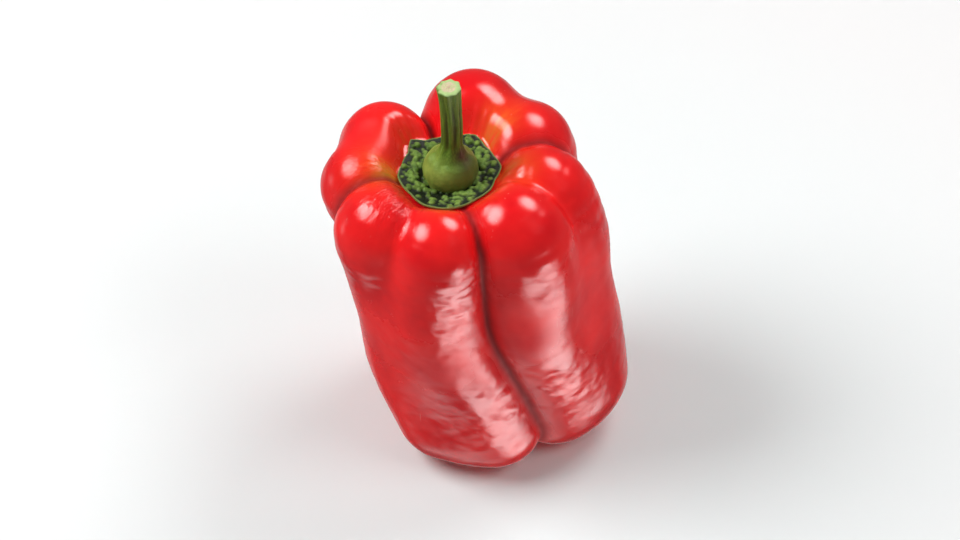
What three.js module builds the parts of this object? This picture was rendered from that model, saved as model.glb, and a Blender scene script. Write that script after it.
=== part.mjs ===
// A bell pepper with its calyx and cut stem, standing on the tips of its lobes.
// Millimetres, +Z up. The origin is on the floor, under the middle of the whole fruit.

import * as THREE from "three";
import { mergeVertices } from "three/addons/utils/BufferGeometryUtils.js";

// ---- Driving dimensions ----

const fruitHeight = 115;       // floor to the crest of the tallest shoulder
const fruitWidth = 83;         // across the shoulders
const seatDepth = 13;          // crest of the shoulders down to the middle of the calyx seat
const seatCurve = 60;          // radius of the dished seat
const footSink = 1.3;          // how much of a standing lobe's tip is pressed flat
const furrowBlend = 3;         // softness of the deep furrows between the main lobes
const plugReach = 13;          // radius of the plug of flesh under the calyx
const plugBlend = 6;           // softness round that plug
const coreBlend = 5;           // softness where the lobes meet the middle of the fruit

const calyxScale = 1;          // size of the calyx outline that calyxOutline lists
const calyxThickness = 1.9;    // at the stem
const calyxEdge = 1.1;         // at the rim

const stemHeight = 38;         // seat to the cut end
const stemRadius = 3.1;        // slimmest place of the shaft
const stemEndRadius = 3.6;     // flared cut end
const stemLean = -0.2;         // sideways shift of the cut end
const stemBow = 0.8;           // sideways bow of the shaft
const bulbRadius = 8.6;        // swollen base of the stem, an ellipsoid
const bulbMiddle = 3.7;        // seat to the widest place of the base
const bulbRise = 8;            // half the height of the whole ellipsoid
const neckHeight = 16;         // seat to where the base has become the shaft
const flareLength = 6;         // length of the flare under the cut end
const chamfer = 0.4;           // on the edge of the cut end
const ridgeCount = 8;          // ridges along the stem
const ridgeDepth = 0.3;        // half the height of a ridge

const pieceGap = 0.3;          // between pieces that touch
const seatMargin = 1.3;        // how far the seat reaches past the rim of the calyx
const seatFlare = 35;          // how far the wall of the seat leans outward, in degrees
const pressBlend = 2.5;         // softness of the edge of the seat

const fruitAround = 66;        // facets of each piece
const fruitDown = 40;
const calyxAround = 48;
const stemAround = 32;

const degree = Math.PI / 180;

// ---- Half-lobes of the fruit ----

// Each half-lobe is a row of balls from the calyx over the shoulder to the tip, joined
// smoothly. It is drawn for a fruit of drawnWidth and stretched to fruitWidth.
// rise and crest: [azimuth, reach from the axis, ball radius, drop below the tallest crest].
// flank: [x, y, ball radius] at each share of the height in flankShares.
// tip: [x, y, ball radius, lift above the floor]; null stands for a tip that carries the fruit.
const drawnWidth = 83;
const flankShares = [0.72, 0.53, 0.335];
const halfLobes = {
  north: {
    rise: [74, 16, 9, 9],
    crest: [76, 30.5, 15.3, 0],
    flank: [[6, 25.5, 18], [8, 22, 18], [12, 21, 17]],
    tip: [14, 20, 16, 1],
  },
  northEast: {
    rise: [40, 16, 9, 9],
    crest: [39, 29.5, 14.3, 2.6],
    flank: [[23, 18.5, 17.5], [25, 18, 17], [26, 18, 16.5]],
    tip: [26, 18, 15.3, null],
  },
  east: {
    rise: [-4, 16, 9, 9.5],
    crest: [-1, 28.5, 13, 3.4],
    flank: [[33, -3, 16], [34.3, -2, 16.5], [38.3, -3, 16.5]],
    tip: [41, -4, 16, 3],
  },
  southEast: {
    rise: [-52, 16, 9, 9.5],
    crest: [-42, 27, 15.3, 3],
    flank: [[23.5, -18.5, 17], [25, -18.5, 16.5], [29.5, -14.5, 16.8]],
    tip: [33, -11, 15.5, null],
  },
  south: {
    rise: [-96, 16, 8, 10],
    crest: [-98, 25.5, 13, 5],
    flank: [[-4.5, -24.5, 15.5], [-2.5, -24.5, 16], [6, -23, 16.8]],
    tip: [14.5, -22.5, 15, 0.3],
  },
  southWest: {
    rise: [216, 16, 9, 10],
    crest: [218, 26.5, 14, 4],
    flank: [[-17, -14, 16.5], [-12, -13, 17.5], [-8, -13, 18.5]],
    tip: [0, -17, 18, null],
  },
  west: {
    rise: [176, 16, 9, 10],
    crest: [175, 26.5, 13.3, 3.6],
    flank: [[-20, 3.5, 15.5], [-13, 4, 16.5], [-10, 5, 16.5]],
    tip: [-6, 8, 16, 1.5],
  },
  northWest: {
    rise: [140, 16, 9, 9.5],
    crest: [139, 27, 14, 2.4],
    flank: [[-15, 17, 16.5], [-8, 17, 17], [-3, 17, 17]],
    tip: [-3, 16, 16, null],
  },
};

// The four main lobes: two half-lobes each, with how softly they meet low down and at the top.
const mainLobes = [
  { halves: ["north", "northEast"], lowBlend: 8, topBlend: 6 },
  { halves: ["east", "southEast"], lowBlend: 9, topBlend: 2 },
  { halves: ["south", "southWest"], lowBlend: 9, topBlend: 3 },
  { halves: ["west", "northWest"], lowBlend: 9, topBlend: 6 },
];
const lowBlendShare = 0.53;
const topBlendShare = 0.87;

// Middle of the fruit: [x, y, share of the height, ball radius].
const core = [
  [0, 0, 0.74, 17],
  [3, 1, 0.62, 24],
  [8, 1, 0.42, 25],
  [12, 1, 0.26, 18],
];

const across = fruitWidth / drawnWidth;
const seatHeight = fruitHeight - seatDepth;

// Height of the dished seat at a distance from the stem's axis.
function seatAt(distance) {
  return seatHeight + seatCurve - Math.sqrt(Math.max(seatCurve ** 2 - distance ** 2, 1));
}

// Outline of the calyx: [azimuth, distance from the stem's axis], its corners joined straight.
const calyxOutline = [
  [6, 15.8], [26, 15], [45, 15.2], [63, 17.1], [80, 15.6], [106, 14.9], [120, 15.2], [133, 17.7],
  [148, 15], [170, 14.9], [189, 16], [220, 15.4], [243, 17], [270, 16.6], [304, 14.3], [328, 14.6],
  [346, 14.1],
].map(([azimuth, reach]) => [azimuth, reach * calyxScale]);

function calyxEdgeAt(azimuth) {
  const [firstAngle] = calyxOutline[0];
  const turn = THREE.MathUtils.euclideanModulo(azimuth / degree - firstAngle, 360);
  const angles = [...calyxOutline.map(([angle]) => angle - firstAngle), 360];
  const i = angles.findLastIndex((angle) => angle <= turn);
  const [, reach] = calyxOutline[i];
  const [, nextReach] = calyxOutline[(i + 1) % calyxOutline.length];
  return THREE.MathUtils.mapLinear(turn, angles[i], angles[i + 1], reach, nextReach);
}

// ---- The fruit as a smooth union of rounded rods ----

// A ball of the skeleton, with its radius as w.
const ball = (x, y, z, radius) => new THREE.Vector4(x, y, z, radius);

function shoulderBall([azimuth, reach, radius, drop]) {
  const x = reach * across * Math.cos(azimuth * degree);
  const y = reach * across * Math.sin(azimuth * degree);
  return ball(x, y, fruitHeight - drop - radius * across, radius * across);
}

function tipBall([x, y, radius, lift]) {
  const raised = lift === null ? -footSink : lift;
  return ball(x * across, y * across, radius * across + raised, radius * across);
}

function halfLobeBalls({ rise, crest, flank, tip }) {
  const sides = flank.map(([x, y, radius], i) =>
    ball(x * across, y * across, flankShares[i] * fruitHeight, radius * across));
  return smoothRow([shoulderBall(rise), shoulderBall(crest), ...sides, tipBall(tip)]);
}

// Balls along a Catmull-Rom curve through the given ones.
function smoothRow(balls, steps = 21) {
  const last = balls.length - 1;
  const at = (i) => balls[Math.min(Math.max(i, 0), last)];
  const before = at(0).clone().multiplyScalar(2).sub(at(1));
  const after = at(last).clone().multiplyScalar(2).sub(at(last - 1));
  const row = [];
  for (let step = 0; step <= steps; step += 1) {
    const along = (step / steps) * last;
    const i = Math.min(Math.floor(along), last - 1);
    const t = along - i;
    const a = i === 0 ? before : at(i - 1);
    const d = i === last - 1 ? after : at(i + 2);
    row.push(new THREE.Vector4(...["x", "y", "z", "w"].map((axis) =>
      cubic(a[axis], at(i)[axis], at(i + 1)[axis], d[axis], t))));
  }
  return row;
}

function cubic(a, b, c, d, t) {
  const bend = 2 * a - 5 * b + 4 * c - d;
  const twist = 3 * b - a - 3 * c + d;
  return 0.5 * (2 * b + (c - a) * t + bend * t * t + twist * t ** 3);
}

// Distance from a point to the rounded rod through a row of balls, negative inside.
function rodDistance(point, row) {
  let nearest = Infinity;
  for (let i = 0; i < row.length - 1; i += 1) {
    const from = row[i];
    const to = row[i + 1];
    const [dx, dy, dz] = [to.x - from.x, to.y - from.y, to.z - from.z];
    const [px, py, pz] = [point.x - from.x, point.y - from.y, point.z - from.z];
    const length2 = dx * dx + dy * dy + dz * dz;
    const t = THREE.MathUtils.clamp((px * dx + py * dy + pz * dz) / length2, 0, 1);
    const away = Math.hypot(px - dx * t, py - dy * t, pz - dz * t);
    nearest = Math.min(nearest, away - THREE.MathUtils.lerp(from.w, to.w, t));
  }
  return nearest;
}

// The smaller of two distances, rounded off over a width.
function blend(a, b, width) {
  const h = THREE.MathUtils.clamp(0.5 + (0.5 * (b - a)) / width, 0, 1);
  return b + (a - b) * h - width * h * (1 - h);
}

const lobeRods = mainLobes.map(({ halves, lowBlend, topBlend }) => ({
  rods: halves.map((name) => halfLobeBalls(halfLobes[name])),
  lowBlend,
  topBlend,
}));
const coreRod = smoothRow(core.map(([x, y, share, radius]) =>
  ball(x * across, y * across, share * fruitHeight, radius * across)), 6);

// Distance from a point to the skin of the fruit, negative inside.
function fruitDistance(point) {
  const upward = THREE.MathUtils.clamp(
    (point.z / fruitHeight - lowBlendShare) / (topBlendShare - lowBlendShare), 0, 1);
  let distance = Infinity;
  for (const { rods, lowBlend, topBlend } of lobeRods) {
    const width = THREE.MathUtils.lerp(lowBlend, topBlend, upward);
    const lobe = blend(rodDistance(point, rods[0]), rodDistance(point, rods[1]), width);
    distance = distance === Infinity ? lobe : blend(distance, lobe, furrowBlend);
  }
  distance = blend(distance, rodDistance(point, coreRod), coreBlend);

  // A plug of flesh fills the middle of the top, then the seat is pressed into the shoulders
  // along the outline of the calyx.
  const fromAxis = Math.hypot(point.x, point.y);
  const plugTop = Math.max(fromAxis - plugReach, point.z - seatAt(fromAxis));
  const plug = Math.max(plugTop, fruitHeight * flankShares[0] - point.z);
  distance = blend(distance, plug, plugBlend);
  const toCentre = Math.hypot(fromAxis, point.z - seatHeight - seatCurve) - seatCurve;
  const azimuth = Math.atan2(point.y, point.x);
  const edges = [-8, 0, 8].map((turn) => calyxEdgeAt(azimuth + turn * degree));
  const rim = Math.max(...edges) + seatMargin;
  const aboveRim = point.z - seatAt(rim);
  const wall = (fromAxis - rim) * Math.cos(seatFlare * degree) - aboveRim * Math.sin(seatFlare * degree);
  return -blend(-distance, Math.max(toCentre, wall), pressBlend);
}

// ---- fruit_body ----

// Rays run out of a rounded cone inside the fruit, and each stops at the skin.
const innerTop = { radius: 21 * across, height: 0.78 * fruitHeight, x: 0, y: 0 };
const innerFoot = { radius: 15 * across, height: 0.23 * fruitHeight, x: 14 * across, y: 1 * across };
const rayShares = [0.17, 0.34, 0.73, 0.89];   // top disc, upper edge, side, lower edge, foot disc

function rayFrom(down, azimuth) {
  const [topEnd, bendEnd, sideEnd, footEnd] = rayShares;
  const share = (from, to) => THREE.MathUtils.clamp((down - from) / (to - from), 0, 1);
  const side = share(bendEnd, sideEnd);
  const tilt = (share(topEnd, bendEnd) + share(sideEnd, footEnd)) * 90 * degree;
  const size = share(0, topEnd) - share(footEnd, 1);
  const radius = THREE.MathUtils.lerp(innerTop.radius, innerFoot.radius, side) * size;
  const from = new THREE.Vector3(
    THREE.MathUtils.lerp(innerTop.x, innerFoot.x, side) + radius * Math.cos(azimuth),
    THREE.MathUtils.lerp(innerTop.y, innerFoot.y, side) + radius * Math.sin(azimuth),
    THREE.MathUtils.lerp(innerTop.height, innerFoot.height, side),
  );
  const along = new THREE.Vector3(
    Math.sin(tilt) * Math.cos(azimuth),
    Math.sin(tilt) * Math.sin(azimuth),
    Math.cos(tilt),
  );
  return { from, along };
}

function skinPoint(down, azimuth) {
  const { from, along } = rayFrom(down, azimuth);
  let [near, far] = [0, fruitWidth];
  for (let halving = 0; halving < 18; halving += 1) {
    const middle = (near + far) / 2;
    const inside = fruitDistance(from.clone().addScaledVector(along, middle)) < 0;
    if (inside) near = middle;
    else far = middle;
  }
  const point = from.addScaledVector(along, near);
  point.z = Math.max(point.z, 0);
  return point;
}

function fruitGeometry() {
  const geometry = new THREE.SphereGeometry(1, fruitAround, fruitDown);
  return reshaped(geometry, (x, y, z) => skinPoint(Math.acos(y) / Math.PI, Math.atan2(z, -x)));
}

// ---- calyx ----

// A closed collar round the base of the stem, lying in the seat. Its profile runs out along
// the underside and back along the top: x is the share of the way out, y is 0 below, 1 above.
function calyxGeometry() {
  const out = [0, 0.25, 0.5, 0.75, 1];
  const under = out.map((share) => new THREE.Vector2(share + 1, 0));
  const over = out.toReversed().map((share) => new THREE.Vector2(share + 1, 1));
  const geometry = new THREE.LatheGeometry([...under, ...over, under[0]], calyxAround);
  return reshaped(geometry, (x, level, z) => {
    const azimuth = Math.atan2(z, -x);
    const share = Math.hypot(x, z) - 1;
    const hole = bulbRadius + ridgeDepth + pieceGap;
    const distance = THREE.MathUtils.lerp(hole, calyxEdgeAt(azimuth), share);
    const thickness = THREE.MathUtils.lerp(calyxThickness, calyxEdge, share);
    const height = seatAt(distance) + pieceGap + level * thickness;
    return onAxis(distance, azimuth, height);
  });
}

// ---- stem ----

// The stem's outline, from the middle of its underside to the middle of its cut end, as
// [radius, height above the seat]. The underside lies in the seat.
function stemProfile() {
  const foot = [0, 0.35, 0.7, 0.93].map((share) => {
    const radius = share * bulbRadius;
    return [radius, seatAt(radius) - seatHeight];
  });
  const bulb = [-18, 0, 18, 36, 54].map((turn) => {
    const angle = turn * degree;
    return [bulbRadius * Math.cos(angle), bulbMiddle + bulbRise * Math.sin(angle)];
  });
  const [neckRadius, neckStart] = bulb.at(-1);
  const neck = [0.4, 0.7].map((share) => [
    THREE.MathUtils.lerp(neckRadius, stemRadius, 1 - (1 - share) ** 2),
    THREE.MathUtils.lerp(neckStart, neckHeight, share),
  ]);
  const shaft = [
    [stemRadius, neckHeight],
    [stemRadius, (neckHeight + stemHeight) / 2],
    [THREE.MathUtils.lerp(stemRadius, stemEndRadius, 0.3), stemHeight - flareLength],
    [stemEndRadius, stemHeight - chamfer],
    [stemEndRadius - chamfer, stemHeight],
    [0, stemHeight],
  ];
  return [...foot, ...bulb, ...neck, ...shaft];
}

function stemGeometry() {
  const profile = stemProfile().map(([radius, rise]) =>
    new THREE.Vector2(radius, seatHeight + pieceGap + rise));
  const geometry = new THREE.LatheGeometry(profile, stemAround);
  return reshaped(geometry, (x, height, z) => {
    const azimuth = Math.atan2(z, -x);
    const plain = Math.hypot(x, z);
    const ridge = ridgeDepth * Math.cos(ridgeCount * azimuth) * Math.min(plain / stemRadius, 1);
    const up = THREE.MathUtils.clamp((height - seatHeight) / stemHeight, 0, 1);
    const point = onAxis(plain + ridge, azimuth, height);
    point.x += stemBow * Math.sin(Math.PI * up) + stemLean * up ** 2;
    return point;
  });
}

// ---- Shared tools ----

function onAxis(distance, azimuth, height) {
  return new THREE.Vector3(distance * Math.cos(azimuth), distance * Math.sin(azimuth), height);
}

// Moves every vertex of a closed geometry, then welds the seam and the poles.
function reshaped(geometry, place) {
  const position = geometry.attributes.position;
  for (let i = 0; i < position.count; i += 1) {
    const point = place(position.getX(i), position.getY(i), position.getZ(i));
    position.setXYZ(i, point.x, point.y, point.z);
  }
  geometry.deleteAttribute("normal");
  geometry.deleteAttribute("uv");
  const welded = mergeVertices(geometry, 1e-3);
  welded.computeVertexNormals();
  return welded;
}

function piece(name, geometry, color, roughness) {
  const mesh = new THREE.Mesh(
    geometry,
    new THREE.MeshStandardMaterial({ color, roughness, metalness: 0 }),
  );
  mesh.name = name;
  return mesh;
}

const pepper = new THREE.Group();
pepper.add(piece("fruit_body", fruitGeometry(), 0xcf1420, 0.12));
pepper.add(piece("calyx", calyxGeometry(), 0x3f6a2c, 0.6));
pepper.add(piece("stem", stemGeometry(), 0x7a9a3c, 0.5));

// The whole pepper is moved sideways so that the origin is under its middle.
const middle = new THREE.Box3().setFromObject(pepper).getCenter(new THREE.Vector3());
pepper.position.set(-middle.x, -middle.y, 0);

export default pepper;
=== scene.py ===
"""A bell pepper on a pale table: fruit, calyx and stem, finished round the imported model."""

import math

import bpy
import numpy as np
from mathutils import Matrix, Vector


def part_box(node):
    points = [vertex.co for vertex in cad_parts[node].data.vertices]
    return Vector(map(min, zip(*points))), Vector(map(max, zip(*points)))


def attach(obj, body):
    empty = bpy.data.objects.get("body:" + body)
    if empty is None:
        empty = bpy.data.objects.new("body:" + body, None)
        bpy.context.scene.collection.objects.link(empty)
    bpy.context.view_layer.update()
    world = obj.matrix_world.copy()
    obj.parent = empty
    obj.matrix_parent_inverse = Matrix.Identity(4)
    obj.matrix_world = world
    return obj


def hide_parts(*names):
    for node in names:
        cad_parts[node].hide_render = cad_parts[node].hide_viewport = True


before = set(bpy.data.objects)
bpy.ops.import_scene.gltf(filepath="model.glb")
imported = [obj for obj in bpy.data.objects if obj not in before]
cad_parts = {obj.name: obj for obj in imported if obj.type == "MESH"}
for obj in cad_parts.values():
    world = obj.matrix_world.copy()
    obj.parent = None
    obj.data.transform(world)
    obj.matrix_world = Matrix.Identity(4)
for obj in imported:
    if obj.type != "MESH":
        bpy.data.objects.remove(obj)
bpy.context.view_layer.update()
fruit_low, fruit_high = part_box("fruit_body")

MM = 0.001

# ---- Sizes of the fruit, in millimetres, about the stem's axis with the floor at zero ----

FRUIT_HEIGHT = 115
SEAT_HEIGHT = 102           # middle of the dished seat of the calyx
SEAT_CURVE = 60             # radius of that dish
SEAT_MARGIN = 0.7           # how far the seat reaches past the rim of the calyx
SEAT_FLARE = 35             # how far the wall of the seat leans outward, in degrees
FOOT_SINK = 1.3             # how much of a standing lobe's tip is pressed flat
FURROW_BLEND = 1.6          # softness of the deep furrows
CORE_BLEND = 5
PLUG_REACH = 13             # plug of flesh under the calyx
PLUG_BLEND = 6
PRESS_BLEND = 2.5
PIECE_GAP = 0.3             # between pieces that touch

# Each half-lobe is a row of balls from the calyx over the shoulder to the tip.
# rise and crest: azimuth, reach from the axis, ball radius, drop below the tallest crest.
# flank: x, y, ball radius at each share of the height. tip: x, y, ball radius, lift.
FLANK_SHARES = (0.72, 0.53, 0.335)
HALF_LOBES = {
    "north": {
        "rise": (74, 16, 9, 9), "crest": (76, 30.5, 15.3, 0),
        "flank": ((6, 25.5, 18), (8, 22, 18), (12, 21, 17)), "tip": (14, 20, 16, 1)},
    "north_east": {
        "rise": (40, 16, 9, 9), "crest": (39, 29.5, 14.3, 2.6),
        "flank": ((23, 18.5, 17.5), (25, 18, 17), (26, 18, 16.5)), "tip": (26, 18, 15.3, None)},
    "east": {
        "rise": (-4, 16, 9, 9.5), "crest": (-1, 28.5, 13, 3.4),
        "flank": ((33, -3, 16), (34.3, -2, 16.5), (38.3, -3, 16.5)), "tip": (41, -4, 16, 3)},
    "south_east": {
        "rise": (-52, 16, 9, 9.5), "crest": (-42, 27, 15.3, 3),
        "flank": ((23.5, -18.5, 17), (25, -18.5, 16.5), (29.5, -14.5, 16.8)),
        "tip": (33, -11, 15.5, None)},
    "south": {
        "rise": (-96, 16, 8, 10), "crest": (-98, 25.5, 13, 5),
        "flank": ((-4.5, -24.5, 15.5), (-2.5, -24.5, 16), (6, -23, 16.8)),
        "tip": (14.5, -22.5, 15, 0.3)},
    "south_west": {
        "rise": (216, 16, 9, 10), "crest": (218, 26.5, 14, 4),
        "flank": ((-17, -14, 16.5), (-12, -13, 17.5), (-8, -13, 18.5)), "tip": (0, -17, 18, None)},
    "west": {
        "rise": (176, 16, 9, 10), "crest": (175, 26.5, 13.3, 3.6),
        "flank": ((-20, 3.5, 15.5), (-13, 4, 16.5), (-10, 5, 16.5)), "tip": (-6, 8, 16, 1.5)},
    "north_west": {
        "rise": (140, 16, 9, 9.5), "crest": (139, 27, 14, 2.4),
        "flank": ((-15, 17, 16.5), (-8, 17, 17), (-3, 17, 17)), "tip": (-3, 16, 16, None)},
}
# Main lobes: two half-lobes each, with how softly they meet low down and at the shoulders.
MAIN_LOBES = (
    ("north", "north_east", 8, 6),
    ("east", "south_east", 9, 2),
    ("south", "south_west", 9, 3),
    ("west", "north_west", 9, 6),
)
BLEND_SHARES = (0.53, 0.87)
CORE = ((0, 0, 0.74, 17), (3, 1, 0.62, 24), (8, 1, 0.42, 25), (12, 1, 0.26, 18))

# Calyx: azimuth and distance of each corner of its outline from the stem's axis.
CALYX_OUTLINE = (
    (6, 15.8), (26, 15), (45, 15.2), (63, 17.1), (80, 15.6), (106, 14.9), (120, 15.2), (133, 17.7),
    (148, 15), (170, 14.9), (189, 16), (220, 15.4), (243, 17), (270, 16.6), (304, 14.3),
    (328, 14.6), (346, 14.1),
)
CALYX_OVERHANG = 0.25       # how far the leaf's mesh goes past that outline
CALYX_TUCK = 0.4            # how far the leaf reaches in under the stem's bulb

STEM_HEIGHT = 38            # seat to the cut end
STEM_RADIUS = 3.1
STEM_END_RADIUS = 3.6
STEM_LEAN = -0.2
STEM_BOW = 0.8
BULB_RADIUS = 8.6
BULB_MIDDLE = 3.7
BULB_RISE = 8
NECK_HEIGHT = 16

# Vertices round the fruit and down it, and balls along each row.
FRUIT_AROUND = 300
FRUIT_DOWN = 260
LOBE_STEPS = 21
CORE_STEPS = 6
ON_SKIN = 0.002             # how near to the skin a vertex has to come


# ---- The fruit as a smooth union of rounded rods ----

def on_circle(azimuth, reach):
    angle = math.radians(azimuth)
    return reach * math.cos(angle), reach * math.sin(angle)


def smooth_row(balls, steps):
    """Balls along a Catmull-Rom curve through the given ones, as rows of x, y, z, radius."""
    balls = np.array(balls, float)
    padded = np.vstack([2 * balls[0] - balls[1], balls, 2 * balls[-1] - balls[-2]])
    row = []
    for along in np.linspace(0, len(balls) - 1, steps + 1):
        i = min(int(along), len(balls) - 2)
        t = along - i
        a, b, c, d = padded[i:i + 4]
        bend = 2 * a - 5 * b + 4 * c - d
        twist = 3 * b - a - 3 * c + d
        row.append(0.5 * (2 * b + (c - a) * t + bend * t * t + twist * t ** 3))
    return np.array(row)


def half_lobe_row(lobe):
    balls = []
    for part in ("rise", "crest"):
        azimuth, reach, radius, drop = lobe[part]
        balls.append((*on_circle(azimuth, reach), FRUIT_HEIGHT - drop - radius, radius))
    for share, (x, y, radius) in zip(FLANK_SHARES, lobe["flank"]):
        balls.append((x, y, share * FRUIT_HEIGHT, radius))
    x, y, radius, lift = lobe["tip"]
    balls.append((x, y, radius + (-FOOT_SINK if lift is None else lift), radius))
    return smooth_row(balls, LOBE_STEPS)


def rod_distance(points, row):
    """Distance from each point to the rounded rod through a row of balls, negative inside."""
    nearest = np.full(len(points), np.inf)
    for start, end in zip(row[:-1], row[1:]):
        axis = end[:3] - start[:3]
        offset = points - start[:3]
        t = np.clip(offset @ axis / (axis @ axis), 0, 1)
        offset -= t[:, None] * axis
        away = np.sqrt(np.einsum("ij,ij->i", offset, offset))
        np.minimum(nearest, away - start[3] - (end[3] - start[3]) * t, out=nearest)
    return nearest


def blend(a, b, width):
    """The smaller of two distances, rounded off over a width."""
    h = np.clip(0.5 + 0.5 * (b - a) / width, 0, 1)
    return b + (a - b) * h - width * h * (1 - h)


LOBE_ROWS = {name: half_lobe_row(lobe) for name, lobe in HALF_LOBES.items()}
CORE_ROW = smooth_row([(x, y, share * FRUIT_HEIGHT, r) for x, y, share, r in CORE], CORE_STEPS)


def seat_at(distance):
    return SEAT_HEIGHT + SEAT_CURVE - np.sqrt(SEAT_CURVE ** 2 - np.minimum(distance, 50) ** 2)


def calyx_edge_at(azimuth):
    angles = [a for a, _ in CALYX_OUTLINE]
    reaches = [r for _, r in CALYX_OUTLINE]
    first, last = angles[0] + 360, angles[-1] - 360
    return np.interp(np.degrees(azimuth) % 360, [last, *angles, first],
                     [reaches[-1], *reaches, reaches[0]])


def main_lobe_distances(points):
    share = points[:, 2] / FRUIT_HEIGHT
    distances = []
    for first, second, low_blend, top_blend in MAIN_LOBES:
        width = np.interp(share, BLEND_SHARES, (low_blend, top_blend))
        distances.append(blend(rod_distance(points, LOBE_ROWS[first]),
                               rod_distance(points, LOBE_ROWS[second]), width))
    return distances


def furrow_share(points):
    """One at the bottom of a furrow between two main lobes, falling to zero beside it: the skin's
    painted shade and extra roughness there.
    """
    nearest, second = np.sort(np.stack(main_lobe_distances(points)), axis=0)[:2]
    return np.exp(-((second - nearest) / 2.2) ** 2)


def fruit_distance(points):
    """Distance from each point to the skin of the fruit, negative inside."""
    distance, *others = main_lobe_distances(points)
    for lobe in others:
        distance = blend(distance, lobe, FURROW_BLEND)
    distance = blend(distance, rod_distance(points, CORE_ROW), CORE_BLEND)
    from_axis = np.hypot(points[:, 0], points[:, 1])
    plug = np.maximum(from_axis - PLUG_REACH, points[:, 2] - seat_at(from_axis))
    plug = np.maximum(plug, FLANK_SHARES[0] * FRUIT_HEIGHT - points[:, 2])
    distance = blend(distance, plug, PLUG_BLEND)
    to_centre = np.hypot(from_axis, points[:, 2] - SEAT_HEIGHT - SEAT_CURVE) - SEAT_CURVE
    azimuth = np.arctan2(points[:, 1], points[:, 0])
    # The widest edge close by, so that the seat clears the corners of the calyx.
    edges = [calyx_edge_at(azimuth + math.radians(turn)) for turn in (-8, 0, 8)]
    rim = np.maximum.reduce(edges) + SEAT_MARGIN
    flare = math.radians(SEAT_FLARE)
    wall = (from_axis - rim) * math.cos(flare) - (points[:, 2] - seat_at(rim)) * math.sin(flare)
    return -blend(-distance, np.maximum(to_centre, wall), PRESS_BLEND)


def fruit_rays(around, down):
    """Rays out of a rounded cone inside the fruit: a top disc, its side and a foot disc."""
    share = np.linspace(0, 1, down)
    side = np.interp(share, (0.34, 0.73), (0, 1))
    tilt = np.interp(share, (0.17, 0.34, 0.73, 0.89), (0, 90, 90, 180))
    size = np.interp(share, (0, 0.17, 0.89, 1), (0, 1, 1, 0))
    radius = (21 + (15 - 21) * side) * size
    centre = np.stack([14 * side, side, FRUIT_HEIGHT * (0.78 + (0.23 - 0.78) * side)], -1)
    azimuth = np.linspace(0, 2 * np.pi, around, endpoint=False)
    outward = np.stack([np.cos(azimuth), np.sin(azimuth), np.zeros(around)], -1)
    starts = centre[:, None] + radius[:, None, None] * outward[None]
    sine = np.sin(np.radians(tilt))[:, None, None]
    upward = np.cos(np.radians(tilt))[:, None, None] * np.array((0, 0, 1.0))
    return starts.reshape(-1, 3), (sine * outward[None] + upward).reshape(-1, 3)


def fruit_skin(around, down):
    """Points of the skin, a row of them for each step from the calyx to the foot."""
    starts, rays = fruit_rays(around, down)
    reach = np.full(len(starts), 60.0)
    moving = np.arange(len(starts))
    while len(moving):
        gap = fruit_distance(starts[moving] + reach[moving, None] * rays[moving])
        reach[moving] -= gap
        moving = moving[np.abs(gap) > ON_SKIN]
    skin = starts + reach[:, None] * rays
    skin[:, 2] = np.maximum(skin[:, 2], 0)
    return skin


SKIN = fruit_skin(FRUIT_AROUND, FRUIT_DOWN)
skin_middle = (SKIN.min(0) + SKIN.max(0)) / 2
cad_middle = (fruit_low + fruit_high) / 2
# Where the stem's axis meets the floor in the model's own frame.
AXIS = Vector((cad_middle.x - skin_middle[0] * MM, cad_middle.y - skin_middle[1] * MM, 0))


def placed(points):
    """Points in millimetres about the stem's axis, in metres in the model's frame."""
    return np.asarray(points, float) * MM + np.array(AXIS)


# ---- Mesh and node helpers ----

def mesh_object(name, points, faces):
    mesh = bpy.data.meshes.new(name)
    mesh.from_pydata(points.tolist(), [], faces)
    mesh.validate()
    mesh.shade_smooth()
    piece = bpy.data.objects.new(name, mesh)
    bpy.context.scene.collection.objects.link(piece)
    return piece


def vertices_of(piece):
    """Vertices of a piece in millimetres about the stem's axis."""
    points = np.empty(len(piece.data.vertices) * 3)
    piece.data.vertices.foreach_get("co", points)
    return (points.reshape(-1, 3) - np.array(AXIS)) / MM


def store(piece, name, values):
    """Keeps a number for each vertex of a piece, for its material and its relief."""
    layer = piece.data.attributes.new(name, "FLOAT", "POINT")
    layer.data.foreach_set("value", np.asarray(values, np.float32))


def store_vector(piece, name, values):
    layer = piece.data.attributes.new(name, "FLOAT_VECTOR", "POINT")
    layer.data.foreach_set("vector", np.asarray(values, np.float32).ravel())


def grid_faces(rows, around):
    """Quads between closed rings of vertices."""
    faces = []
    for row in range(rows - 1):
        start = row * around
        for i in range(around):
            j = (i + 1) % around
            faces.append((start + i, start + around + i, start + around + j, start + j))
    return faces


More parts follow.
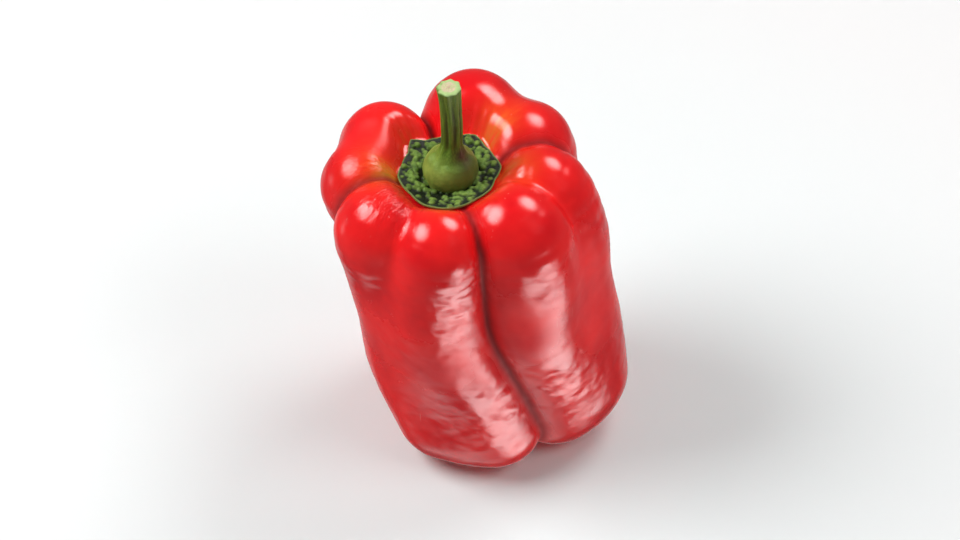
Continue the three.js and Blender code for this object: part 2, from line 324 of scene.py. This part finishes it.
class Nodes:
    """Short calls for building a node tree."""

    def __init__(self, tree):
        self.tree = tree

    def add(self, kind, inputs=None, **settings):
        node = self.tree.nodes.new(kind)
        for name, value in settings.items():
            setattr(node, name, value)
        for key, value in (inputs or {}).items():
            self.feed(node.inputs[key], value)
        return node

    def feed(self, socket, value):
        if isinstance(value, bpy.types.NodeSocket):
            self.tree.links.new(value, socket)
        else:
            socket.default_value = value

    def math(self, operation, *values):
        node = self.add("ShaderNodeMath", operation=operation)
        for socket, value in zip(node.inputs, values):
            self.feed(socket, value)
        return node.outputs[0]

    def vector(self, operation, *values):
        node = self.add("ShaderNodeVectorMath", operation=operation)
        for socket, value in zip(node.inputs, values):
            self.feed(socket, value)
        return node.outputs[0]

    def scaled(self, vector, scale):
        node = self.add("ShaderNodeVectorMath", operation="SCALE")
        self.feed(node.inputs[0], vector)
        self.feed(node.inputs["Scale"], scale)
        return node.outputs[0]

    def noise(self, vector, scale, detail=2.0, roughness=0.5, distortion=0.0):
        node = self.add("ShaderNodeTexNoise", {
            "Vector": vector, "Scale": scale, "Detail": detail,
            "Roughness": roughness, "Distortion": distortion})
        return node.outputs[0]

    def range(self, value, from_low, from_high, to_low=0.0, to_high=1.0):
        node = self.add("ShaderNodeMapRange", {
            "Value": value, "From Min": from_low, "From Max": from_high,
            "To Min": to_low, "To Max": to_high})
        return node.outputs[0]

    def mix(self, share, first, second):
        node = self.add("ShaderNodeMix", data_type="RGBA")
        self.feed(node.inputs[0], share)
        self.feed(node.inputs[6], first)
        self.feed(node.inputs[7], second)
        return node.outputs[2]

    def attribute(self, name, output="Fac"):
        return self.add("ShaderNodeAttribute", attribute_name=name).outputs[output]


def shape_tree(name, numbers):
    """A Geometry Nodes tree with a geometry input and named numbers."""
    tree = bpy.data.node_groups.new(name, "GeometryNodeTree")
    face = tree.interface
    face.new_socket("Geometry", in_out="INPUT", socket_type="NodeSocketGeometry")
    for label, value in numbers.items():
        kind = "NodeSocketInt" if isinstance(value, int) else "NodeSocketFloat"
        face.new_socket(label, in_out="INPUT", socket_type=kind).default_value = value
    face.new_socket("Geometry", in_out="OUTPUT", socket_type="NodeSocketGeometry")
    nodes = Nodes(tree)
    return nodes, nodes.add("NodeGroupInput").outputs


def finish_tree(nodes, geometry, material):
    """Ends a tree as every tree here ends: instances made real, and the material set."""
    real = nodes.add("GeometryNodeRealizeInstances", {"Geometry": geometry})
    shown = nodes.add("GeometryNodeSetMaterial", {"Geometry": real.outputs[0], "Material": material})
    nodes.add("NodeGroupOutput", {"Geometry": shown.outputs[0]})


def grown(piece, nodes, numbers):
    """Runs a tree on a piece and keeps the result as its plain mesh."""
    modifier = piece.modifiers.new("growth", "NODES")
    modifier.node_group = nodes.tree
    for item in nodes.tree.interface.items_tree:
        if item.in_out == "INPUT" and item.name in numbers:
            modifier[item.identifier] = numbers[item.name]
    return settled(piece)


def settled(piece):
    """Replaces a piece's mesh and modifiers by what they give together."""
    graph = bpy.context.evaluated_depsgraph_get()
    mesh = bpy.data.meshes.new_from_object(piece.evaluated_get(graph))
    piece.modifiers.clear()
    piece.data = mesh
    mesh.name = piece.name
    return piece


def new_material(name):
    material = bpy.data.materials.new(name)
    material.use_nodes = True
    nodes = Nodes(material.node_tree)
    return material, nodes, material.node_tree.nodes["Principled BSDF"]


# ---- Materials ----

def skin_material():
    material, n, shader = new_material("waxy_red_skin")
    place = n.add("ShaderNodeTexCoord").outputs["Object"]
    red = n.mix(n.range(n.noise(place, 55, 3), 0.35, 0.65), (0.68, 0.005, 0.009, 1),
                (0.86, 0.011, 0.012, 1))
    streaks = n.noise(n.attribute("ray_grain", "Vector"), 5.0, 4, 0.6)
    blush = n.attribute("blush")
    ragged = n.math("MULTIPLY", blush, n.range(streaks, 0.3, 0.7, 0.55, 1.25))
    orange = n.mix(n.math("MINIMUM", ragged, 1.0), red, (0.78, 0.070, 0.012, 1))
    olive = n.math("MULTIPLY", n.attribute("unripe"), n.range(streaks, 0.35, 0.65, 0.3, 1.2))
    coloured = n.mix(n.math("MINIMUM", olive, 1.0), orange, (0.50, 0.22, 0.015, 1))
    # Short pale scuffs that run down the lobes.
    scuff_place = n.vector("MULTIPLY", place, (900.0, 900.0, 90.0))
    scuffs = n.range(n.noise(scuff_place, 1.0, 1), 0.735, 0.78)
    worn = n.range(n.noise(place, 70, 2), 0.52, 0.6)
    scuffs = n.math("MULTIPLY", n.math("MULTIPLY", scuffs, worn), 0.35)
    scuffed = n.mix(scuffs, coloured, (0.80, 0.22, 0.18, 1))
    # Painted shade: the skin darkens to a near-black red along the bottoms of the furrows, which are
    # also rougher.
    furrow = n.math("MULTIPLY", n.attribute("furrow"), 0.8)
    n.feed(shader.inputs["Base Color"], n.mix(furrow, scuffed, (0.10, 0.0008, 0.002, 1)))

    smudge = n.noise(place, 140, 4, 0.6)
    rough = n.range(smudge, 0.3, 0.7, 0.17, 0.26)
    rough = n.math("ADD", rough, n.math("MULTIPLY", furrow, 0.7))
    rough = n.math("ADD", rough, n.math("MULTIPLY", n.attribute("dull"), 0.5))
    n.feed(shader.inputs["Roughness"], rough)

    peel = n.noise(place, 1500, 2, 0.5)
    # Thin creases across the lobes where the skin has slackened.
    across = n.noise(n.vector("MULTIPLY", place, (200.0, 200.0, 320.0)), 1.0, 2, 0.5, 0.8)
    creases = n.math("MULTIPLY", across, n.attribute("crumple"))
    fine_rays = n.math("MULTIPLY", n.noise(n.attribute("ray_grain", "Vector"), 9.0, 3, 0.6),
                       n.attribute("wrinkle"))
    relief = n.math("ADD", n.math("MULTIPLY", peel, 0.000016),
                    n.math("ADD", n.math("MULTIPLY", creases, 0.00006),
                           n.math("MULTIPLY", fine_rays, 0.0010)))
    bump = n.add("ShaderNodeBump", {"Height": relief, "Strength": 1.0, "Distance": 1.0})
    n.feed(shader.inputs["Normal"], bump.outputs[0])

    shader.inputs["IOR"].default_value = 1.52
    shader.inputs["Subsurface Weight"].default_value = 0.10
    shader.inputs["Subsurface Radius"].default_value = (1.0, 0.08, 0.05)
    shader.inputs["Subsurface Scale"].default_value = 0.003
    return material


def calyx_material():
    material, n, shader = new_material("knobbly_green_leaf")
    place = n.add("ShaderNodeTexCoord").outputs["Object"]
    green = n.mix(n.range(n.noise(place, 420, 4, 0.6), 0.35, 0.65), (0.055, 0.110, 0.018, 1),
                  (0.165, 0.265, 0.050, 1))
    # Painted shade: the low hollows between the knobs, and the leaf's underside, go near black.
    raised = n.range(n.attribute("level"), 0.35, 0.95)
    shaded = n.mix(raised, (0.002, 0.005, 0.001, 1), green)
    n.feed(shader.inputs["Base Color"],
           n.mix(n.attribute("rim"), shaded, (0.20, 0.31, 0.09, 1)))
    shader.inputs["Roughness"].default_value = 0.5
    shader.inputs["Specular IOR Level"].default_value = 0.25
    bump = n.add("ShaderNodeBump", {"Height": n.noise(place, 1400, 3, 0.6), "Strength": 1.0,
                                    "Distance": 0.00025})
    n.feed(shader.inputs["Normal"], bump.outputs[0])
    return material


def stem_material():
    material, n, shader = new_material("ridged_green_stalk")
    place = n.add("ShaderNodeTexCoord").outputs["Object"]
    mottle = n.range(n.noise(place, 260, 4, 0.6), 0.35, 0.65)
    along = n.noise(n.vector("MULTIPLY", place, (2600.0, 2600.0, 130.0)), 1.0, 2)
    shaft = n.mix(n.range(along, 0.35, 0.65), (0.050, 0.115, 0.010, 1), (0.115, 0.22, 0.022, 1))
    # Painted shade: the grooves between the stalk's ridges are darkened.
    shaft = n.mix(n.attribute("flute"), shaft, (0.028, 0.058, 0.008, 1))
    bulb = n.mix(mottle, (0.125, 0.195, 0.026, 1), (0.24, 0.33, 0.058, 1))
    bulb = n.mix(n.attribute("shade_side"), bulb, (0.060, 0.105, 0.018, 1))
    green = n.mix(n.range(n.attribute("up"), 0.20, 0.36), bulb, shaft)
    stained = n.mix(n.math("MULTIPLY", n.attribute("stain"), n.range(mottle, 0, 1, 0.5, 1.0)),
                    green, (0.055, 0.028, 0.020, 1))
    cut = n.mix(n.attribute("cut"), stained, (0.36, 0.50, 0.20, 1))
    pith = n.mix(n.range(n.noise(place, 1400, 3, 0.7), 0.4, 0.6), (0.45, 0.47, 0.24, 1),
                 (0.60, 0.42, 0.33, 1))
    n.feed(shader.inputs["Base Color"], n.mix(n.attribute("pith"), cut, pith))
    n.feed(shader.inputs["Roughness"], n.range(mottle, 0, 1, 0.42, 0.58))
    shader.inputs["Specular IOR Level"].default_value = 0.35
    bump = n.add("ShaderNodeBump", {"Height": n.noise(place, 1100, 3, 0.6), "Strength": 1.0,
                                    "Distance": 0.00018})
    n.feed(shader.inputs["Normal"], bump.outputs[0])
    return material


# ---- fruit ----

# Tints round the calyx: azimuth, reach, spread round, spread outward, strength.
BLUSHES = ((192, 21, 20, 9, 0.9), (48, 22, 15, 9, 0.9), (-8, 21, 20, 7, 0.8),
           (-97, 19, 12, 5, 0.8), (-45, 19, 16, 4, 0.5), (140, 19, 20, 6, 0.35))
UNRIPE_SPOTS = ((190, 18.5, 9, 5, 0.8), (45, 19, 9, 5, 0.5), (-3, 18, 9, 3.5, 0.3))


def tint(points, spots):
    azimuth = np.degrees(np.arctan2(points[:, 1], points[:, 0]))
    reach = np.hypot(points[:, 0], points[:, 1])
    total = np.zeros(len(points))
    for spot_azimuth, spot_reach, spread, length, strength in spots:
        turn = (azimuth - spot_azimuth + 180) % 360 - 180
        total += strength * np.exp(-(turn / spread) ** 2 - ((reach - spot_reach) / length) ** 2)
    top = np.interp(points[:, 2], (85, 98), (0, 1))
    return np.clip(total * top, 0, 1)


# Where the skin has gone slack: x, y, z, how far round it, and how strongly.
SLACK_SPOTS = ((0, -38, 84, 15, 0.9), (-6, -36, 66, 12, 0.8), (16, -37, 34, 17, 0.75),
               (30, -32, 88, 11, 0.7), (38, -28, 44, 15, 0.6), (50, -8, 40, 12, 0.4))

# Where the skin is satin: halfway down the front lobe and on a few turns of the others.
DULL_SPOTS = ((-4, -42, 58, 8, 0.8), (20, -36, 73, 9, 1.0), (24, -36, 64, 7, 0.7),
              (42, -21, 86, 9, 0.6), (44, -18, 70, 11, 0.7), (46, -14, 55, 10, 0.5),
              (-18, -30, 60, 14, 0.3), (-27, 9, 110, 8, 0.8), (3, 16, 110, 4, 0.6))


def gathered(points, spots):
    total = np.zeros(len(points))
    for x, y, z, size, strength in spots:
        away = np.linalg.norm(points - (x, y, z), axis=1)
        total += strength * np.exp(-(away / size) ** 2)
    return np.clip(total, 0, 1)


def slack_skin(points):
    everywhere = 0.10 + np.interp(points[:, 2], (10, 60, 92), (0.22, 0.12, 0))
    return np.clip(gathered(points, SLACK_SPOTS) + everywhere, 0, 1)


def make_fruit():
    rows = FRUIT_DOWN - 2
    rings = SKIN[FRUIT_AROUND:-FRUIT_AROUND]
    points = np.vstack([rings, SKIN[:1], SKIN[-1:]])
    faces = grid_faces(rows, FRUIT_AROUND)
    top, foot = len(rings), len(rings) + 1
    last = (rows - 1) * FRUIT_AROUND
    for i in range(FRUIT_AROUND):
        j = (i + 1) % FRUIT_AROUND
        faces.append((top, i, j))
        faces.append((foot, last + j, last + i))
    fruit = mesh_object("fruit_skin", placed(points), faces)

    azimuth = np.arctan2(points[:, 1], points[:, 0])
    reach = np.hypot(points[:, 0], points[:, 1])
    grain = np.stack([2.4 * np.cos(azimuth), 2.4 * np.sin(azimuth), reach / 30], -1)
    store_vector(fruit, "ray_grain", grain)
    store(fruit, "blush", tint(points, BLUSHES))
    store(fruit, "unripe", tint(points, UNRIPE_SPOTS))
    store(fruit, "wrinkle", tint(points, ((226, 24, 20, 9, 1.0), (182, 26, 16, 8, 0.4))))
    store(fruit, "crumple", slack_skin(points))
    store(fruit, "dull", gathered(points, DULL_SPOTS))
    # The furrow share carries painted shade into the skin's colour, and extra roughness.
    store(fruit, "furrow", furrow_share(points) * np.interp(points[:, 2], (0, 8), (0.3, 1)))

    numbers = {"Swell Height": 0.35 * MM, "Swell Size": 16 * MM, "Crease Height": 1.0 * MM,
               "Crease Size": 4.4 * MM}
    n, given = shape_tree("skin_relief", numbers)
    place = n.add("GeometryNodeInputPosition").outputs[0]
    normal = n.add("GeometryNodeInputNormal").outputs[0]
    swell = n.noise(n.scaled(place, n.math("DIVIDE", 1.0, given["Swell Size"])), 1.0, 1.0)
    swell = n.math("MULTIPLY", n.math("SUBTRACT", swell, 0.5), given["Swell Height"])
    across = n.vector("MULTIPLY", place, (1.0, 1.0, 0.85))
    crease = n.noise(n.scaled(across, n.math("DIVIDE", 1.0, given["Crease Size"])), 1.0, 1.5,
                     0.5, 0.4)
    crumple = n.add("GeometryNodeInputNamedAttribute", {"Name": "crumple"}, data_type="FLOAT")
    crease = n.math("MULTIPLY", n.math("SUBTRACT", crease, 0.5), given["Crease Height"])
    crease = n.math("MULTIPLY", crease, crumple.outputs[0])
    height = n.math("ADD", swell, crease)
    on_floor = n.range(n.add("ShaderNodeSeparateXYZ", {"Vector": place}).outputs[2],
                       0.0002, 0.003)
    moved = n.add("GeometryNodeSetPosition", {
        "Geometry": given["Geometry"],
        "Offset": n.scaled(normal, n.math("MULTIPLY", height, on_floor))})
    finish_tree(n, moved.outputs[0], skin_material())
    return grown(fruit, n, numbers)


# ---- calyx ----

# Thickness of the leaf at shares of the way from the stem to its rim.
CALYX_PROFILE = ((0, 0.7), (0.25, 0.9), (0.75, 0.8), (0.92, 0.8), (1, 1.0))


def leaf_thickness(share):
    return np.interp(share, *zip(*CALYX_PROFILE))


def make_calyx():
    around = 240
    steps = 24
    azimuth = np.linspace(0, 2 * np.pi, around, endpoint=False)
    hole = BULB_RADIUS - CALYX_TUCK
    edge = calyx_edge_at(azimuth) + CALYX_OVERHANG
    out = np.linspace(0, 1, steps)
    profile = [(share, 0.0) for share in out] + [(share, 1.0) for share in out[::-1]]
    rings, room = [], []
    for share, level in profile:
        distance = hole + (edge - hole) * share
        height = seat_at(distance) + PIECE_GAP + level * leaf_thickness(share)
        rings.append(np.stack([distance * np.cos(azimuth), distance * np.sin(azimuth), height], -1))
        room.append(np.full(around, level * float(np.interp(share, (0.8, 0.9), (1, 0)))))
    faces = grid_faces(len(profile), around)
    start = (len(profile) - 1) * around
    faces += [(start + i, i, (i + 1) % around, start + (i + 1) % around) for i in range(around)]
    calyx = mesh_object("calyx_leaf", placed(np.concatenate(rings)), faces)
    store(calyx, "knob_room", np.concatenate(room))

    numbers = {"Knobs Per Area": 0.6 / MM ** 2, "Smallest Knob": 0.5 * MM, "Largest Knob": 1.2 * MM,
               "Seed": 4, "Wrinkle Height": 0.6 * MM, "Wrinkle Size": 1.2 * MM}
    n, given = shape_tree("knobbly_leaf", numbers)
    room = n.add("GeometryNodeInputNamedAttribute", {"Name": "knob_room"}, data_type="FLOAT")
    spots = n.add("GeometryNodeDistributePointsOnFaces", {
        "Mesh": given["Geometry"], "Seed": given["Seed"],
        "Density": n.math("MULTIPLY", room.outputs[0], given["Knobs Per Area"])})
    size = n.add("FunctionNodeRandomValue", data_type="FLOAT")
    n.feed(size.inputs[2], given["Smallest Knob"])
    n.feed(size.inputs[3], given["Largest Knob"])
    n.feed(size.inputs["Seed"], given["Seed"])
    ball = n.add("GeometryNodeMeshIcoSphere", {"Radius": 1.0, "Subdivisions": 2})
    knobs = n.add("GeometryNodeInstanceOnPoints", {
        "Points": spots.outputs["Points"], "Instance": ball.outputs[0],
        "Rotation": spots.outputs["Rotation"],
        "Scale": n.vector("MULTIPLY", n.scaled((1.0, 1.0, 1.0), size.outputs[1]), (1.0, 1.0, 0.85))})
    place = n.add("GeometryNodeInputPosition").outputs[0]
    wrinkle = n.noise(n.scaled(place, n.math("DIVIDE", 1.0, given["Wrinkle Size"])), 1.0, 2.0)
    lift = n.math("MULTIPLY", n.math("SUBTRACT", wrinkle, 0.5), given["Wrinkle Height"])
    normal = n.add("GeometryNodeInputNormal").outputs[0]
    wrinkled = n.add("GeometryNodeSetPosition", {
        "Geometry": n.add("GeometryNodeRealizeInstances", {"Geometry": knobs.outputs[0]}).outputs[0],
        "Offset": n.scaled(normal, lift)})
    together = n.add("GeometryNodeJoinGeometry")
    n.feed(together.inputs[0], given["Geometry"])
    n.feed(together.inputs[0], wrinkled.outputs[0])
    material = calyx_material()
    finish_tree(n, together.outputs[0], material)
    grown(calyx, n, numbers)

    # One closed skin over the leaf and its knobs.
    skin = calyx.modifiers.new("one_skin", "REMESH")
    skin.mode = "VOXEL"
    skin.voxel_size = 0.22 * MM
    skin.use_smooth_shade = True
    calyx.modifiers.new("soften", "SMOOTH").iterations = 3
    settled(calyx)
    calyx.data.materials.clear()
    calyx.data.materials.append(material)

    points = vertices_of(calyx)
    distance = np.hypot(points[:, 0], points[:, 1])
    azimuth = np.arctan2(points[:, 1], points[:, 0])
    share = (distance - hole) / (calyx_edge_at(azimuth) + CALYX_OVERHANG - hole)
    above = points[:, 2] - seat_at(distance) - PIECE_GAP
    # Height over the leaf's underside, which the material turns into painted shade in the low hollows.
    store(calyx, "level", np.clip((above - 0.5) / 1.1, 0, 1))
    store(calyx, "rim", np.interp(share, (0.93, 0.985), (0, 0.8)))
    return calyx


# ---- stem ----

def stem_rail():
    """Rows of height above the seat and radius, from the middle of the foot to the cut end."""
    rows = []
    for share in (0.01, 0.35, 0.7, 0.93):
        rows.append((float(seat_at(share * BULB_RADIUS)) - SEAT_HEIGHT, share * BULB_RADIUS))
    for turn in (-18, 0, 18, 36, 54):
        angle = math.radians(turn)
        rows.append((BULB_MIDDLE + BULB_RISE * math.sin(angle), BULB_RADIUS * math.cos(angle)))
    neck_start, neck_radius = rows[-1]
    for share in (0.4, 0.7):
        rows.append((neck_start + (NECK_HEIGHT - neck_start) * share,
                     neck_radius + (STEM_RADIUS - neck_radius) * (1 - (1 - share) ** 2)))
    rows += [(NECK_HEIGHT, STEM_RADIUS), (STEM_HEIGHT - 12, STEM_RADIUS),
             (STEM_HEIGHT - 6, STEM_RADIUS + 0.15), (STEM_HEIGHT - 1, STEM_END_RADIUS),
             (STEM_HEIGHT - 0.35, STEM_END_RADIUS - 0.05), (STEM_HEIGHT - 0.12, STEM_END_RADIUS - 0.5),
             (STEM_HEIGHT - 0.08, 2.2), (STEM_HEIGHT - 0.04, 1.1), (STEM_HEIGHT, 0.05)]
    rail = smooth_row(rows, 210)
    rail[:, 0] = np.maximum.accumulate(rail[:, 0]) + np.arange(len(rail)) * 1e-4
    return rail


def make_stem():
    rail = stem_rail()
    height, girth = rail[:, 0], np.maximum(rail[:, 1], 0.04)
    up = height / STEM_HEIGHT
    x = STEM_BOW * np.sin(np.pi * up) + STEM_LEAN * up ** 2
    points = np.stack([x, np.zeros(len(x)), SEAT_HEIGHT + PIECE_GAP + height], -1)
    mesh = bpy.data.meshes.new("stem_stalk")
    mesh.from_pydata(placed(points).tolist(), [(i, i + 1) for i in range(len(points) - 1)], [])
    stem = bpy.data.objects.new("stem_stalk", mesh)
    bpy.context.scene.collection.objects.link(stem)
    store(stem, "girth", girth * MM)
    store(stem, "up", up)

    numbers = {"Facets": 96, "Ridges": 8, "Ridge Height": 0.26 * MM, "Grain Height": 0.5 * MM,
               "Grain Size": 2.0 * MM}
    n, given = shape_tree("ridged_stalk", numbers)
    path = n.add("GeometryNodeMeshToCurve", {"Mesh": given["Geometry"]})
    circle = n.add("GeometryNodeCurvePrimitiveCircle", {"Resolution": given["Facets"], "Radius": 1.0})
    marked = n.add("GeometryNodeStoreNamedAttribute", {
        "Geometry": circle.outputs[0], "Name": "around",
        "Value": n.add("GeometryNodeSplineParameter").outputs["Factor"]}, data_type="FLOAT")
    girth_at = n.add("GeometryNodeInputNamedAttribute", {"Name": "girth"}, data_type="FLOAT")
    tube = n.add("GeometryNodeCurveToMesh", {
        "Curve": path.outputs[0], "Profile Curve": marked.outputs[0],
        "Scale": girth_at.outputs[0], "Fill Caps": True})
    around = n.add("GeometryNodeInputNamedAttribute", {"Name": "around"}, data_type="FLOAT").outputs[0]
    up_at = n.add("GeometryNodeInputNamedAttribute", {"Name": "up"}, data_type="FLOAT").outputs[0]
    turns = n.math("MULTIPLY", n.math("MULTIPLY", around, given["Ridges"]), 2 * math.pi)
    wave = n.math("COSINE", n.math("ADD", turns, n.math("MULTIPLY", up_at, 1.2)))
    body = n.math("MULTIPLY", n.range(up_at, 0.12, 0.42, 0.12, 1.0),
                  n.range(up_at, 0.985, 0.997, 1.0, 0.3))
    ridge = n.math("MULTIPLY", n.math("MULTIPLY", wave, body), given["Ridge Height"])
    place = n.add("GeometryNodeInputPosition").outputs[0]
    grain_place = n.scaled(n.vector("MULTIPLY", place, (1.0, 1.0, 0.35)),
                           n.math("DIVIDE", 1.0, given["Grain Size"]))
    grain = n.math("SUBTRACT", n.noise(grain_place, 1.0, 3.0), 0.5)
    lift = n.math("ADD", ridge, n.math("MULTIPLY", grain, given["Grain Height"]))
    moved = n.add("GeometryNodeSetPosition", {
        "Geometry": tube.outputs[0],
        "Offset": n.scaled(n.add("GeometryNodeInputNormal").outputs[0], lift)})
    smooth = n.add("GeometryNodeSetShadeSmooth", {"Geometry": moved.outputs[0], "Shade Smooth": True})
    finish_tree(n, smooth.outputs[0], stem_material())
    grown(stem, n, numbers)

    points = vertices_of(stem)
    up = (points[:, 2] - SEAT_HEIGHT - PIECE_GAP) / STEM_HEIGHT
    x = points[:, 0] - STEM_BOW * np.sin(np.pi * up) - STEM_LEAN * up ** 2
    azimuth = np.degrees(np.arctan2(points[:, 1], x))
    reach = np.hypot(x, points[:, 1])
    ring = np.interp(up, (0.3, 0.45, 0.97, 1), (0, 1, 1, 0))
    # How deep each point sits below the stalk's round, for painted shade in its grooves.
    store(stem, "flute", ring * np.clip((STEM_RADIUS + 0.05 - reach) / 0.3, 0, 1))
    turn = (azimuth + 30 + 180) % 360 - 180
    store(stem, "shade_side", np.exp(-(turn / 70) ** 2))
    stain = np.exp(-(turn / 38) ** 2) * np.exp(-((up - 0.30) / 0.085) ** 2)
    store(stem, "stain", np.clip(1.5 * stain, 0, 1))
    top = np.interp(up, (0.986, 0.994), (0, 1))
    store(stem, "cut", top)
    store(stem, "pith", top * np.interp(reach, (2.0, 2.6), (1, 0)))
    return stem


# ---- Table, lights and camera ----

def make_table():
    """A white table that curves up into a backdrop all round, like a studio sweep."""
    around = 96
    profile = [(0.6, 0.0), (1.4, 0.0), (1.7, 0.02), (2.0, 0.10), (2.25, 0.30), (2.4, 0.6), (2.45, 1.2),
               (2.45, 2.2)]
    azimuth = np.linspace(0, 2 * np.pi, around, endpoint=False)
    rings = [np.stack([r * np.cos(azimuth), r * np.sin(azimuth), np.full(around, z)], -1)
             for r, z in profile]
    points = np.concatenate(rings + [[[0, 0, 0]]])
    middle = len(points) - 1
    faces = grid_faces(len(profile), around)
    faces += [(middle, i, (i + 1) % around) for i in range(around)]
    table = mesh_object("table", points, faces)
    material, n, shader = new_material("white_table")
    # A shade cooler under the fruit, where the red skin throws its own colour on the white.
    from_fruit = n.add("ShaderNodeVectorMath", operation="LENGTH")
    n.feed(from_fruit.inputs[0], n.add("ShaderNodeTexCoord").outputs["Object"])
    under = n.range(from_fruit.outputs["Value"], 0.05, 0.22, 1.0, 0.0)
    n.feed(shader.inputs["Base Color"], n.mix(under, (0.80, 0.80, 0.80, 1), (0.74, 0.81, 0.81, 1)))
    shader.inputs["Roughness"].default_value = 0.7
    table.data.materials.append(material)
    # The table isn't mirrored in the skin: glowing cards stand for it there.
    table.visible_glossy = False


LOOK_AT = Vector((0, 0, 0.055))


def softbox(name, azimuth, elevation, distance, size, power):
    """A lamp that lights the scene; the cards stand for it in the highlights."""
    light = bpy.data.lights.new(name, "AREA")
    light.shape = "DISK"
    light.size = size
    light.energy = power
    lamp = bpy.data.objects.new(name, light)
    lamp.location = LOOK_AT + direction(azimuth, elevation) * distance
    lamp.rotation_euler = (LOOK_AT - lamp.location).to_track_quat("-Z", "Y").to_euler()
    lamp.visible_camera = False
    lamp.visible_glossy = False
    bpy.context.scene.collection.objects.link(lamp)


def direction(azimuth, elevation):
    a, e = math.radians(azimuth), math.radians(elevation)
    return Vector((math.cos(a) * math.cos(e), math.sin(a) * math.cos(e), math.sin(e)))


def card(name, azimuth, elevation, distance, width, height, strength):
    """A glowing oval reflector card that only shows as a soft highlight on shiny surfaces."""
    mesh = bpy.data.meshes.new(name)
    w, h = width / 2, height / 2
    mesh.from_pydata([(-w, -h, 0), (w, -h, 0), (w, h, 0), (-w, h, 0)], [], [(0, 1, 2, 3)])
    board = bpy.data.objects.new(name, mesh)
    board.location = LOOK_AT + direction(azimuth, elevation) * distance
    board.rotation_euler = (LOOK_AT - board.location).to_track_quat("Z", "Y").to_euler()
    bpy.context.scene.collection.objects.link(board)
    material, n, shader = new_material(name)
    place = n.add("ShaderNodeTexCoord").outputs["Object"]
    from_middle = n.add("ShaderNodeVectorMath", operation="LENGTH")
    n.feed(from_middle.inputs[0], n.vector("DIVIDE", place, (w, h, 1.0)))
    glow = n.range(from_middle.outputs["Value"], 0.45, 1.0, strength, 0.0)
    shader.inputs["Base Color"].default_value = (0, 0, 0, 1)
    shader.inputs["Specular IOR Level"].default_value = 0
    shader.inputs["Emission Color"].default_value = (1, 1, 1, 1)
    n.feed(shader.inputs["Emission Strength"], glow)
    clear = n.add("ShaderNodeBsdfTransparent").outputs[0]
    inside = n.math("LESS_THAN", from_middle.outputs["Value"], 1.0)
    shown = n.add("ShaderNodeMixShader", {0: inside, 1: clear, 2: shader.outputs[0]})
    n.feed(material.node_tree.nodes["Material Output"].inputs["Surface"], shown.outputs[0])
    mesh.materials.append(material)
    board.visible_camera = False
    board.visible_diffuse = False
    board.visible_shadow = False
    material.cycles.emission_sampling = "NONE"


def make_lights():
    world = bpy.data.worlds.new("studio")
    world.use_nodes = True
    background = world.node_tree.nodes["Background"]
    background.inputs["Color"].default_value = (1.0, 0.96, 0.94, 1)
    background.inputs["Strength"].default_value = 0.15
    bpy.context.scene.world = world
    softbox("left_softbox", 178, 48, 0.9, 0.55, 7.4)
    softbox("right_softbox", 40, 55, 0.9, 0.45, 3.4)
    softbox("front_softbox", -25, 48, 1.1, 0.6, 3.4)
    card("left_glow", 177, 50, 0.9, 0.80, 0.70, 14)
    card("right_glow", 43, 53, 0.9, 0.70, 0.60, 12)
    card("left_low_glow", 168, -6, 0.9, 0.30, 0.34, 1.5)
    card("front_window", -48, -44, 0.8, 1.30, 0.46, 7.0)
    card("right_window", -40, -20, 0.8, 0.52, 0.40, 8.5)
    card("side_window", 25, -28, 0.8, 0.25, 0.35, 0.7)
    card("broad_front", -118, -72, 1.0, 1.2, 0.6, 1.2)
    card("far_table", 90, -44, 1.2, 3.4, 1.6, 0.5)


CAMERA_ELEVATION = 46.0
CAMERA_DISTANCE = 1.2
# The camera's aim, from the middle of the calyx: to the right, and down as the camera sees it.
AIM_RIGHT = 9.3 * MM
AIM_DOWN = 30.5 * MM
CALYX_LEVEL = 105 * MM
FRAME_HEIGHT = 166 * MM


def make_camera():
    lens = bpy.data.cameras.new("camera")
    camera = bpy.data.objects.new("camera", lens)
    bpy.context.scene.collection.objects.link(camera)
    back = direction(-90, CAMERA_ELEVATION)
    up = direction(90, 90 - CAMERA_ELEVATION)
    aim = AXIS + Vector((AIM_RIGHT, 0, CALYX_LEVEL)) - up * AIM_DOWN
    camera.location = aim + back * CAMERA_DISTANCE
    camera.rotation_euler = (aim - camera.location).to_track_quat("-Z", "Y").to_euler()
    lens.sensor_width = 36
    lens.lens = lens.sensor_width * CAMERA_DISTANCE / (FRAME_HEIGHT * 960 / 540)
    bpy.context.scene.camera = camera


make_camera()
make_lights()
make_table()

fruit = make_fruit()
calyx = make_calyx()
stem = make_stem()
for piece, node, slot in ((fruit, "fruit_body", "skin"), (calyx, "calyx", "calyx_green"),
                          (stem, "stem", "stem_green")):
    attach(piece, "root")
    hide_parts(node)

bpy.context.scene.view_settings.view_transform = "Standard"
